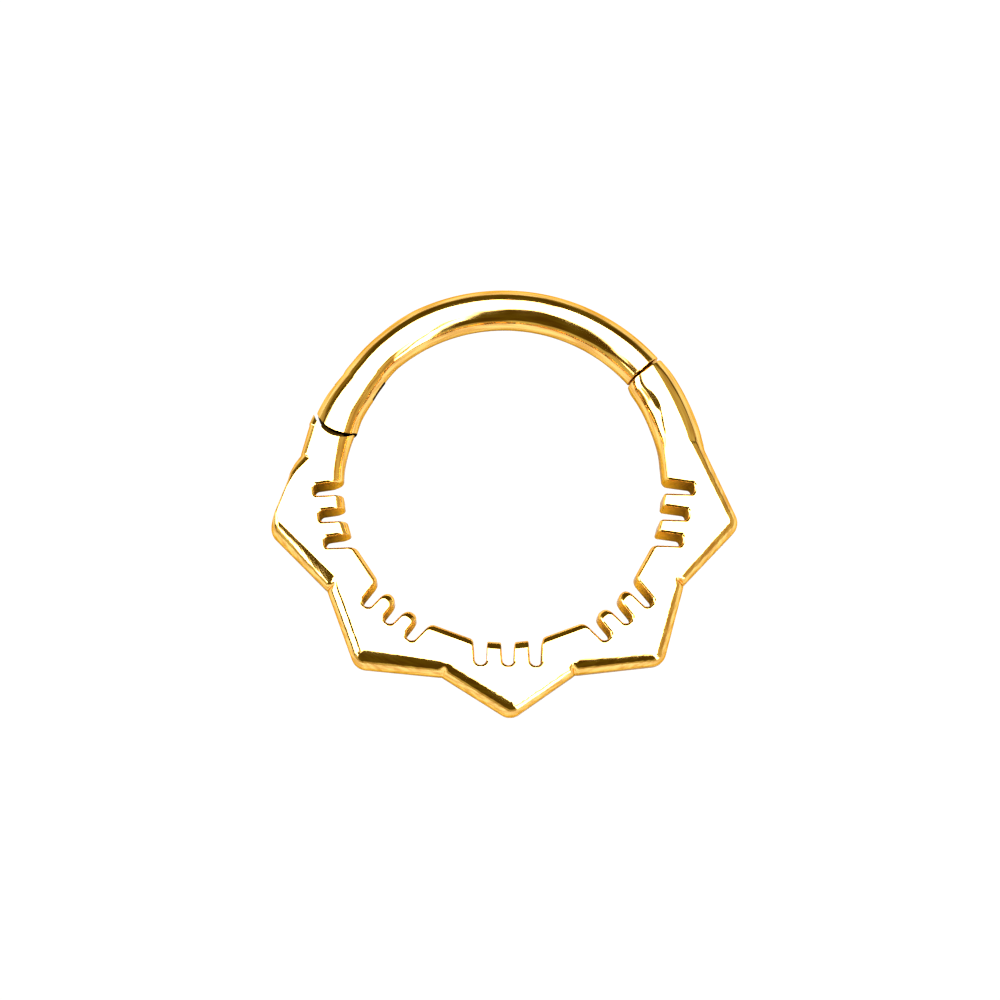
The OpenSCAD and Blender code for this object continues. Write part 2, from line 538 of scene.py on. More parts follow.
def shade(mesh: bpy.types.Mesh, sharp_deg: float) -> None:
    """Shades a mesh smooth, with sharp edges where it bends hard and round its level faces.

    Args:
        mesh: Mesh to shade.
        sharp_deg: Bend from which an edge is sharp.
    """
    mesh.shade_smooth()
    work = bmesh.new()
    work.from_mesh(mesh)
    work.normal_update()
    for edge in work.edges:
        levels = [abs(face.normal.z) > LEVEL for face in edge.link_faces]
        bend = edge.calc_face_angle(math.pi)
        edge.smooth = bend < math.radians(sharp_deg) and (all(levels) or not any(levels))
    work.to_mesh(mesh)
    work.free()


def show(name: str, mesh: bpy.types.Mesh, body: str, node: str) -> bpy.types.Object:
    """Puts a finished mesh in the scene in place of a node of the frame.

    Args:
        name: Name of the piece.
        mesh: Its mesh.
        body: Body that it rides on.
        node: Node of the frame that it replaces.

    Returns:
        The new object.
    """
    piece = bpy.data.objects.new(name, mesh)
    bpy.context.scene.collection.objects.link(piece)
    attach(piece, body)
    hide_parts(node)
    LOG.info("%s: %d faces", name, len(mesh.polygons))
    return piece


def new_material(name: str) -> bpy.types.Material:
    """Makes a material with an empty node tree."""
    material = bpy.data.materials.new(name)
    material.use_nodes = True
    material.node_tree.nodes.clear()
    return material


def ring_distance(tree: bpy.types.NodeTree, place: bpy.types.Node) -> bpy.types.NodeSocket:
    """Gives the distance from the ring's axis, out of a node that splits the place into X, Y and Z."""
    flat = add_node(
        tree, "ShaderNodeCombineXYZ", {"X": place.outputs["X"], "Y": place.outputs["Y"], "Z": 0.0}
    )
    length = add_node(tree, "ShaderNodeVectorMath", {0: flat.outputs[0]}, operation="LENGTH")
    return length.outputs["Value"]


def finish_metal(
    tree: bpy.types.NodeTree,
    colour: bpy.types.NodeSocket,
    grazing: str,
    roughness: bpy.types.NodeSocket | float,
    bumps: bpy.types.Node,
) -> None:
    """Ends a material's node tree with bare metal.

    Args:
        tree: Node tree of the material.
        colour: Colour of the metal.
        grazing: Colour of its reflections at a grazing angle.
        roughness: Its roughness.
        bumps: Node that gives its bumps.
    """
    links = {"Base Color": colour, "Metallic": 1.0, "Roughness": roughness}
    links |= {"Specular Tint": linear_rgb(grazing), "Normal": bumps.outputs["Normal"]}
    shader = add_node(tree, "ShaderNodeBsdfPrincipled", links)
    add_node(tree, "ShaderNodeOutputMaterial", {"Surface": shader.outputs["BSDF"]})


@dataclass(frozen=True)
class PolishedGoldCoating:
    """Gold-coloured coating on mirror-polished steel.

    The buffing wheel leaves very fine streaks that run round the ring, and a faint haze that differs from
    place to place, so that the edges of the reflections are slightly broken.

    Attributes:
        colour: Colour of the coating.
        deep_colour: Colour where the coating is a little thicker.
        grazing: Colour of reflections at a grazing angle.
        roughness: Roughness of the brightest places.
        haze: Roughness that the haze adds at most.
        haze_levels: Levels of the cloud pattern between which the haze grows.
        cloud_mm: Size of the patches of haze.
        streak_mm: Spacing of the buffing streaks across the ring.
        streak_levels: Levels of the streak pattern between which the colour deepens.
        streak_run_mm: How far the streak pattern moves on for each radian round the ring.
        streak_depth_mm: Depth of the streaks.
        ripple_mm: Size of the faint hollows that the wheel leaves.
        ripple_depth_mm: Depth of those hollows.
    """

    colour: str = "#FFD47C"
    deep_colour: str = "#DEA858"
    grazing: str = "#F0CA80"
    roughness: float = 0.05
    haze: float = 0.08
    haze_levels: tuple[float, float] = (0.35, 0.75)
    cloud_mm: float = 0.9
    streak_mm: float = 0.10
    streak_levels: tuple[float, float] = (0.36, 0.64)
    streak_run_mm: float = 0.5
    streak_depth_mm: float = 0.003
    ripple_mm: float = 0.8
    ripple_depth_mm: float = 0.006

    def streak_pattern(self, tree: bpy.types.NodeTree, place: bpy.types.NodeSocket) -> bpy.types.NodeSocket:
        """Adds the streaks: noise over the distance from the axis, the height and, slowly, the angle.

        Args:
            tree: Node tree of the material.
            place: Object coordinates.

        Returns:
            The pattern's level.
        """
        split = add_node(tree, "ShaderNodeSeparateXYZ", {"Vector": place})
        turn = add_node(
            tree, "ShaderNodeMath", {0: split.outputs["Y"], 1: split.outputs["X"]}, operation="ARCTAN2"
        )
        run = add_node(
            tree, "ShaderNodeMath", {0: turn.outputs[0], 1: self.streak_run_mm * MM}, operation="MULTIPLY"
        )
        across = ring_distance(tree, split)
        round_ring = add_node(
            tree, "ShaderNodeCombineXYZ", {"X": across, "Y": run.outputs[0], "Z": split.outputs["Z"]}
        )
        streaks = add_node(
            tree,
            "ShaderNodeTexNoise",
            {"Vector": round_ring.outputs[0], "Scale": 1 / (self.streak_mm * MM), "Detail": 1.0},
        )
        return streaks.outputs["Fac"]

    def colour_and_haze(
        self, tree: bpy.types.NodeTree, place: bpy.types.NodeSocket, streaks: bpy.types.NodeSocket
    ) -> tuple[bpy.types.NodeSocket, bpy.types.NodeSocket]:
        """Adds the colour, deeper along the streaks, and the roughness, with its patches of haze.

        Args:
            tree: Node tree of the material.
            place: Object coordinates.
            streaks: Level of the streaks.

        Returns:
            Colour and roughness.
        """
        low, high = self.haze_levels
        cloud = {"Vector": place, "Scale": 1 / (self.cloud_mm * MM), "Detail": 2.0, "Roughness": 0.6}
        clouds = add_node(tree, "ShaderNodeTexNoise", cloud)
        span = {"From Min": low, "From Max": high, "To Min": self.roughness}
        span |= {"Value": clouds.outputs["Fac"], "To Max": self.roughness + self.haze}
        rough = add_node(tree, "ShaderNodeMapRange", span)
        low, high = self.streak_levels
        stripe = add_node(tree, "ShaderNodeMapRange", {"Value": streaks, "From Min": low, "From Max": high})
        colours = {"A": linear_rgb(self.colour), "B": linear_rgb(self.deep_colour)}
        tint = add_node(
            tree, "ShaderNodeMix", {"Factor": stripe.outputs["Result"], **colours}, data_type="RGBA"
        )
        return tint.outputs["Result"], rough.outputs["Result"]

    def build(self, name: str) -> bpy.types.Material:
        """Builds the material.

        Args:
            name: Name of the material.

        Returns:
            The material.
        """
        material = new_material(name)
        tree = material.node_tree
        place = add_node(tree, "ShaderNodeTexCoord").outputs["Object"]
        streaks = self.streak_pattern(tree, place)
        colour, roughness = self.colour_and_haze(tree, place, streaks)
        bump = add_node(
            tree,
            "ShaderNodeBump",
            {"Height": streaks, "Strength": 1.0, "Distance": self.streak_depth_mm * MM},
        )
        ripples = add_node(
            tree,
            "ShaderNodeTexNoise",
            {"Vector": place, "Scale": 1 / (self.ripple_mm * MM), "Detail": 0.0},
        )
        height = {"Height": ripples.outputs["Fac"], "Normal": bump.outputs["Normal"]}
        waves = add_node(
            tree, "ShaderNodeBump", {**height, "Strength": 1.0, "Distance": self.ripple_depth_mm * MM}
        )
        finish_metal(tree, colour, self.grazing, roughness, waves)
        return material


@dataclass(frozen=True)
class UnpolishedGoldWithPaintedShade:
    """The same coating over bare casting and sawn faces, where the wheel doesn't reach.

    Its fine grain scatters the light. Its colour is a painted shade: dark brown so that slots and seams look
    dark, and darkest at the slots' ends, away from the ring's inside.

    Attributes:
        colour: Colour of the grains' tops at the ring's inside.
        deep_colour: Colour of the hollows between them, and the painted shade at the slots' ends.
        bright_mm: Distance from the ring's centre up to which it is brightest.
        dark_mm: Distance from which the painted shade is darkest.
        painted_shade_fade: How much painted shade lifts the grain's level at the one and lowers it at the
            other.
        roughness: Roughness.
        grain_mm: Size of the grains.
        grain_depth_mm: Depth of the hollows.
    """

    colour: str = "#FFD060"
    deep_colour: str = "#5A4010"
    bright_mm: float = 4.9
    dark_mm: float = 5.85
    painted_shade_fade: float = 0.45
    roughness: float = 0.42
    grain_mm: float = 0.09
    grain_depth_mm: float = 0.006

    def build(self, name: str) -> bpy.types.Material:
        """Builds the material.

        Args:
            name: Name of the material.

        Returns:
            The material.
        """
        material = new_material(name)
        tree = material.node_tree
        place = add_node(tree, "ShaderNodeTexCoord").outputs["Object"]
        split = add_node(tree, "ShaderNodeSeparateXYZ", {"Vector": place})
        pattern = {"Vector": place, "Scale": 1 / (self.grain_mm * MM), "Detail": 3.0, "Roughness": 0.6}
        grain = add_node(tree, "ShaderNodeTexNoise", pattern).outputs["Fac"]
        # Painted shade: the grain's level is lifted at the ring's inside and lowered towards the slots' ends
        painted_shade_fade = add_node(
            tree,
            "ShaderNodeMapRange",
            {
                "Value": ring_distance(tree, split),
                "From Min": self.bright_mm * MM,
                "From Max": self.dark_mm * MM,
                "To Min": self.painted_shade_fade,
                "To Max": -self.painted_shade_fade,
            },
        )
        level = add_node(
            tree, "ShaderNodeMath", {0: grain, 1: painted_shade_fade.outputs["Result"]}, operation="ADD", use_clamp=True
        )
        colours = {"A": linear_rgb(self.deep_colour), "B": linear_rgb(self.colour)}
        tint = add_node(tree, "ShaderNodeMix", {"Factor": level.outputs[0], **colours}, data_type="RGBA")
        bump = add_node(
            tree, "ShaderNodeBump", {"Height": grain, "Strength": 1.0, "Distance": self.grain_depth_mm * MM}
        )
        finish_metal(tree, tint.outputs["Result"], self.colour, self.roughness, bump)
        return material


def petal_table() -> list[Petal]:
    """Gives the five petals from the left, with their flanks' edges as the photograph shows them."""
    fine = Edge(0.10, 0.10)
    low_tooth = Edge(0.16, 0.20, 0.12, 30)
    left = Petal(
        tip_deg=190.8, tip_r=7.30,
        edges=(fine, fine, creased(0.80, 0.70, 0.03, 27), creased(0.27, 0.34, 0.30, 27)),
        slots_deg=190.0, turn=-5, slot_end=5.71, slant=-0.03, slot_soft=0.13,
        tooth=Edge(0.36, 0.34, 0.04, 45), mouth_soft=0.07, rim_soft=0.12, rim_r=4.85,
    )
    lower_left = Petal(
        tip_deg=230.5, tip_r=7.16,
        edges=(
            Edge(0.40, 0.42, 0.05, 28), Edge(0.42, 0.44, 0.04, 28), Edge(0.52, 0.56, 0.08, 30),
            Edge(0.46, 0.56),
        ),
        slots_deg=229.3, turn=-1, slot_end=5.54, slant=-0.035, slot_soft=0.17,
        tooth=low_tooth, mouth_soft=0.18, rim_soft=0.12, rim_r=4.79,
    )
    bottom = Petal(
        tip_deg=270.4, tip_r=7.11,
        edges=(Edge(0.46, 0.56), Edge(0.48, 0.58), Edge(0.42, 0.46), Edge(0.42, 0.46)),
        slots_deg=270.0, turn=0, slot_end=5.52, slant=0.023, slot_soft=0.18,
        tooth=Edge(0.14, 0.16, 0.16, 28), mouth_soft=0.04, rim_soft=0.10, rim_r=4.82,
    )
    lower_right = Petal(
        tip_deg=310.1, tip_r=7.21,
        edges=(Edge(0.44, 0.46, 0.06), Edge(0.44, 0.46), Edge(0.46, 0.50), Edge(0.38, 0.44)),
        slots_deg=310.5, turn=1, slot_end=5.61, slant=0.045, slot_soft=0.17,
        tooth=low_tooth, mouth_soft=0.17, rim_soft=0.14, rim_r=4.85,
    )
    right = Petal(
        tip_deg=349.5, tip_r=7.23,
        edges=(
            Edge(0.38, 0.42), Edge(0.48, 0.50), creased(0.36, 0.42, 0.10, 27),
            creased(0.40, 0.44, 0.12, 27),
        ),
        slots_deg=349.3, turn=5, slot_end=5.60, slant=0.055, slot_soft=0.12,
        tooth=Edge(0.12, 0.16), mouth_soft=0.07, rim_soft=0.10, rim_r=4.85,
    )
    return [left, lower_left, bottom, lower_right, right]


@dataclass
class PetalPlate:
    """The cast lower part of the ring, with its petals, slots and both arms.

    Attributes:
        sizes: Shared sizes.
        finishes: Materials in the order of Finish.
        tip_soft: Rounding of the petals' tips.
        valleys: Angle and distance of the four valleys from the centre, from the left.
        valley_soft: Rounding of the valleys.
        valley_edge: Edge of the valleys, steeper than beside them because the wheel can't reach in.
        valley_share: Share of a flank that the valley's steep edge fades over.
        slot_w: Width of a slot at its end, half-way down.
        slot_taper: Angle by which each side of a slot opens towards its mouth.
        slot_pitch: Distance between two slots.
        slot_edge: Edge of the slots.
        rim_shift: How far the inside lies to the left.
        rim_edges: Edges of the straight stretches of the inside between two petals' slots.
        left_edge: Edge of the left arm's inside.
        end_deg: Angle at which the left arm's blank ends, before the seat is cut.
        seat_ends: Distances of the seat's two ends from the ring's centre.
        seat_steps: Number of steps along the seat.
        seat_gap: Shares of the hinge's gap that open it along the seat: all along, in the middle, and
            at the outer end.
        tongue_root: How far the hinge's tongue runs into the arm behind the seat.
        close_edge: Edge of the end at the closure.
        sharp_deg: Bend from which an edge is sharp.
        petals: The petals, from the left.
    """

    sizes: Sizes
    finishes: list[bpy.types.Material]
    tip_soft: float = 0.3
    valleys: tuple[tuple[float, float], ...] = ((210.4, 6.26), (251.2, 6.13), (289.1, 6.12), (329.7, 6.18))
    valley_soft: float = 0.05
    valley_edge: Edge = Edge(0.18, 0.30, 0.36, 56)
    valley_share: float = 0.025
    slot_w: float = 0.34
    slot_taper: float = 3.0
    slot_pitch: float = 0.82
    # The slots' walls below their rounding take the rough finish with painted shade
    slot_edge: Edge = Edge(0.03, 0.04, 0.05, 30, Finish.ROUGH_WITH_PAINTED_SHADE)
    rim_shift: float = 0.06
    rim_edges: tuple[Edge, ...] = (
        Edge(0.22, 0.26),
        Edge(0.13, 0.16, 0.12, 28),
        Edge(0.12, 0.15, 0.12, 28),
        Edge(0.18, 0.22),
    )
    left_edge: Edge = Edge(0.32, 0.36, 0.12, 45)
    end_deg: float = 150.0
    seat_ends: tuple[float, float] = (4.88, 6.20)
    seat_steps: int = 16
    seat_gap: tuple[float, float, float] = (0.15, 1.45, 0.8)
    tongue_root: float = 0.3
    # The closure's end below its rounding takes the rough finish with painted shade
    close_edge: Edge = Edge(0.06, 0.08, finish=Finish.ROUGH_WITH_PAINTED_SHADE)
    sharp_deg: float = 40.0
    petals: list[Petal] = field(default_factory=petal_table)

    def petal_corners(self) -> list[Corner]:
        """Gives the petals' corners: the tips, the valleys, and a point on the flanks beside each valley."""
        tips = [polar(petal.tip_r, petal.tip_deg) for petal in self.petals]
        corners = []
        for i, petal in enumerate(self.petals):
            corners.append(Corner(tips[i], self.tip_soft, petal.edges[1], petal.edges[2]))
            if i == len(self.valleys):
                break
            valley = polar(self.valleys[i][1], self.valleys[i][0])
            before = valley + self.valley_share * (tips[i] - valley)
            after = valley + self.valley_share * (tips[i + 1] - valley)
            corners += [
                Corner(before, FAR, petal.edges[3]),
                Corner(valley, self.valley_soft, self.valley_edge),
                Corner(after, FAR, self.petals[i + 1].edges[0]),
            ]
        return corners

    def outer_corners(self) -> list[Corner]:
        """Gives the corners of the outer edge, from the hinge round below to the closure."""
        worn = creased(0.12, 0.16, 0.14, 25)
        arm = Edge(0.26, 0.40)
        left_arm = [
            (6.25, self.end_deg, 0.02, worn),
            (6.25, 162.2, 0.02, worn),
            (6.25, 162.4, 0.02, arm),
            (6.285, 170.8, 0.02, arm),
            (6.29, 171.0, 0.02, creased(0.38, 0.48, 0.10, 24)),
            (6.45, 173.8, 0.06, creased(0.28, 0.40, 0.10, 24)),
            (6.53, 176.2, 0.06, creased(0.14, 0.22, 0.10, 24)),
            (6.61, 179.5, 0.30, self.petals[0].edges[0]),
        ]
        right_arm = [
            (6.20, 369.8, 0.25, creased(0.44, 0.46, 0.12, 27)),
            (6.22, 371.2, FAR, creased(0.54, 0.52, 0.16, 27)),
            (6.23, 372.8, FAR, creased(0.64, 0.58, 0.20, 27)),
            (6.25, 376.0, FAR, creased(0.66, 0.60, 0.20, 27)),
            (6.26, 382.0, FAR, creased(0.66, 0.60, 0.22, 27)),
            (6.28, 388.5, FAR, creased(0.66, 0.60, 0.22, 27)),
            (6.30, 394.5, FAR, creased(0.66, 0.60, 0.19, 27)),
        ]
        round_end = creased(0.62, self.sizes.thick / 2, 0.10, 27)
        end = Corner(polar(6.27, self.sizes.close_deg), 0.06, round_end, self.close_edge)
        return [*placed(left_arm), *self.petal_corners(), *placed(right_arm), end]

    def inner_corners(self) -> list[Corner]:
        """Gives the corners of the inside, from the closure down and round to the hinge."""
        round_end = Edge(0.61, self.sizes.thick / 2)
        right_arm = [
            (4.88, 397.0, FAR, Edge(0.60, 0.56)),
            (4.865, 393.0, FAR, creased(0.70, 0.62, 0.08, 24)),
            (4.84, 388.0, FAR, creased(0.70, 0.62, 0.16, 24)),
            (4.825, 382.5, FAR, creased(0.66, 0.60, 0.02, 24)),
            (4.82, 378.0, FAR, Edge(0.46, 0.52)),
            (4.82, 374.5, FAR, Edge(0.30, 0.50)),
            (4.82, 371.5, FAR, Edge(0.17, 0.48)),
        ]
        left_arm = [
            (4.93, 174.0, FAR, self.left_edge),
            (4.91, 168.0, FAR, Edge(0.36, 0.40, 0.14, 45)),
            (4.89, 161.5, FAR, Edge(0.44, 0.44, 0.16, 45)),
            (4.88, self.end_deg, 0.02, Edge(0.44, 0.44, 0.16, 45)),
        ]
        corners = [Corner(polar(4.94, self.sizes.close_deg), 0.02, self.close_edge, round_end)]
        corners += placed(right_arm)
        stretches = [self.left_edge, *self.rim_edges, right_arm[-1][3]]
        for i, petal in reversed(list(enumerate(self.petals))):
            corners += self.slot_corners(petal, stretches[i + 1], stretches[i])
        return corners + placed(left_arm)

    def slot_sides(self, petal: Petal) -> np.ndarray:
        """Gives where the sides of a petal's slots end.

        Each slot runs in from its round end until it meets the circle of the plate's inside.

        Args:
            petal: Petal whose slots they are.

        Returns:
            Mouth and end of each side, of shape (slot, side, mouth or end, 2), in clockwise order about
            the ring's centre.
        """
        slot = np.array([1.0, 0.0, -1.0])[:, None]
        side = np.array([1.0, -1.0])
        turn = math.radians(petal.turn)
        reach = self.slot_w / 2
        x = petal.slot_end + slot * petal.slant - reach * (1 - math.cos(turn) + side * math.sin(turn))
        y = slot * self.slot_pitch + reach * (math.sin(turn) + side * math.cos(turn))
        spin = polar(1.0, petal.slots_deg)
        matrix = np.array([[spin[0], -spin[1]], [spin[1], spin[0]]])
        end = np.stack(np.broadcast_arrays(x, y), axis=-1) @ matrix.T
        way = -polar(1.0, petal.turn - side * self.slot_taper) @ matrix.T
        from_rim = end + np.array([self.rim_shift, 0.0])
        b = np.sum(from_rim * way, axis=-1)
        c = np.sum(from_rim**2, axis=-1) - petal.rim_r**2
        mouth = end - (b + np.sqrt(b**2 - c))[..., None] * way
        return np.stack([mouth, end], axis=2)

    def slot_corners(self, petal: Petal, before: Edge, after: Edge) -> list[Corner]:
        """Gives the corners of a petal's slots and of the teeth between them.

        Args:
            petal: Petal whose slots they are.
            before: Edge of the inside before the first slot.
            after: Edge of the inside after the last slot.

        Returns:
            The corners, in clockwise order about the ring's centre.
        """
        sides = self.slot_sides(petal)
        corners = []
        for slot in range(3):
            first, last = slot == 0, slot == 2
            entry_soft = petal.rim_soft if first else petal.mouth_soft
            leave_soft = petal.rim_soft if last else petal.mouth_soft
            corners += [
                Corner(sides[slot, 0, 0], entry_soft, before if first else petal.tooth, self.slot_edge),
                Corner(sides[slot, 0, 1], petal.slot_soft, self.slot_edge),
                Corner(sides[slot, 1, 1], petal.slot_soft, self.slot_edge),
                Corner(sides[slot, 1, 0], leave_soft, self.slot_edge, after if last else petal.tooth),
            ]
        return corners

    def seat_points(self) -> np.ndarray:
        """Gives points of the hinge's hollow seat, from the inside outwards.

        With the shares a, b and c of seat_gap, the gap to the bar's rounded end is
        hinge_gap (a + b sin(pi s^0.9) + c s^4) at the share s of the way out. The seam is nearly closed at
        the ring's inside and widest in the middle.
        """
        along, middle, outer = self.seat_gap
        share = np.linspace(0, 1, self.seat_steps + 1)
        radius = self.seat_ends[0] + share * (self.seat_ends[1] - self.seat_ends[0])
        gap = self.sizes.hinge_gap * (along + middle * np.sin(math.pi * share**0.9) + outer * share**4)
        return polar(radius, self.sizes.seam_deg(radius, self.sizes.knuckle_reach(radius) + gap))

    def seat_cutter(self) -> bpy.types.Mesh:
        """Makes the shape that the hinge's seat is cut with, clear of the arm on its other three sides."""
        points = self.seat_points()
        inside, outside, run = 4.4, 6.8, 12
        past = self.end_deg - run
        ends = np.degrees(np.arctan2(points[[0, -1], 1], points[[0, -1], 0]))
        before = polar(inside, np.array([past, ends[0]]))
        after = polar(outside, np.array([ends[1], past]))
        return prism("seat", np.vstack([before, points, after])[::-1], UNDER, OVER)

    def tongue(self) -> bpy.types.Mesh:
        """Makes the hinge's tongue, a bar with a round end about the pin."""
        sizes = self.sizes
        turn = sizes.tongue_deg
        half_w = sizes.tongue_w / 2
        end = sizes.pin + polar(sizes.knuckle_r + sizes.hinge_gap + self.tongue_root, turn)
        side = polar(half_w, turn + 90)
        outline = np.vstack([end - side, end + side, arc(sizes.pin, half_w, turn + 90, turn + 270)])
        return inner_prism("tongue", outline, sizes, sizes.tongue_t / 2)

    def wall_finishes(self, corners: list[Corner], height: np.ndarray) -> np.ndarray:
        """Gives the finish of each face of the side.

        A straight side has its edge's finish. A corner's curve has it too where both of its edges share
        it, and is polished elsewhere. The rounding itself is always polished.

        Args:
            corners: Corners of the outline.
            height: Height of each level.

        Returns:
            Finish numbers, in the order of the faces.
        """
        before, after = (np.array([corner.edges[i].finish.value for corner in corners]) for i in (0, 1))
        curve = np.where(before == after, before, Finish.POLISHED.value)
        below = np.column_stack([curve] * CORNER_STEPS + [after]).reshape(-1, 1)
        clean = np.repeat([corner.edges[1].fall for corner in corners], CORNER_STEPS + 1)[:, None]
        middle = (height[:-1] + height[1:]) / 2
        deep = np.minimum(middle, self.sizes.thick - middle) > clean
        return np.where(deep, below, Finish.POLISHED.value).ravel()

    def build(self) -> bpy.types.Object:
        """Builds the plate.

        Its side is a profile carried round the outline: down from the front face's edge to half the
        thickness, and on to the back face's edge. The drop below a face is half (1 - cos(angle)), so that
        the levels are closest near the face.

        Returns:
            The plate's object.
        """
        half = self.sizes.thick / 2
        corners = self.outer_corners() + self.inner_corners()
        drop = half * (1 - np.cos(np.linspace(0, math.pi / 2, LEVELS)))
        rings = slab_rings(corners, drop)
        count = len(rings)
        flat = np.concatenate([rings, rings[:, -2::-1]], axis=1)
        height = np.concatenate([self.sizes.thick - drop, drop[-2::-1]])
        rows = len(height)
        z = np.broadcast_to(height[None, :, None], (count, rows, 1))
        points = np.concatenate([flat, z], axis=2).reshape(-1, 3)
        walls = grid_faces(count, rows, True, False)
        front = (np.arange(count) * rows).tolist()
        back = (np.arange(count)[::-1] * rows + rows - 1).tolist()
        finishes = np.append(self.wall_finishes(corners, height), [Finish.POLISHED.value] * 2)
        blank = make_mesh("plate", points, [*walls.tolist(), front, back], finishes)
        tools = [
            (Carve.CUT, self.seat_cutter()),
            (Carve.CUT, catch_block(self.sizes, self.sizes.tongue_fit)),
            (Carve.JOIN, self.tongue()),
            (Carve.CUT, pin_drill(self.sizes)),
        ]
        mesh = carved(blank, tools, self.finishes)
        shade(mesh, self.sharp_deg)
        return show("plate", mesh, "root", "petal_plate")


def catch_block(sizes: Sizes, fit: float) -> bpy.types.Mesh:
    """Makes the closure's tongue, an arc about the hinge pin, or the notch for it.

    Args:
        sizes: Shared sizes.
        fit: How much larger it is on every side.

    Returns:
        The closed mesh.
    """
    steps = 8
    middle = polar(sizes.inner_r + sizes.thick / 2, sizes.close_deg) - sizes.pin
    radius = float(np.hypot(*middle)) + sizes.catch_out
    deg = math.degrees(math.atan2(middle[1], middle[0]))
    per_mm = math.degrees(1 / radius)
    start = deg - (sizes.catch_l + fit) * per_mm
    end = deg + sizes.catch_root * per_mm
    half_w = sizes.catch_w / 2 + fit
    far_side = arc(sizes.pin, radius + half_w, start, end, steps)
    near_side = arc(sizes.pin, radius - half_w, end, start, steps)
    outline = np.vstack([far_side, near_side])
    return inner_prism("catch", outline, sizes, sizes.catch_t / 2 + fit)


def pin_drill(sizes: Sizes) -> bpy.types.Mesh:
    """Makes the shape of the hinge pin's hole, which is open at the back."""
    outline = arc(sizes.pin, sizes.pin_hole_d / 2, 0, 360, steps=48)[:-1]
    return prism("drill", outline, UNDER, sizes.pin_hole_top)


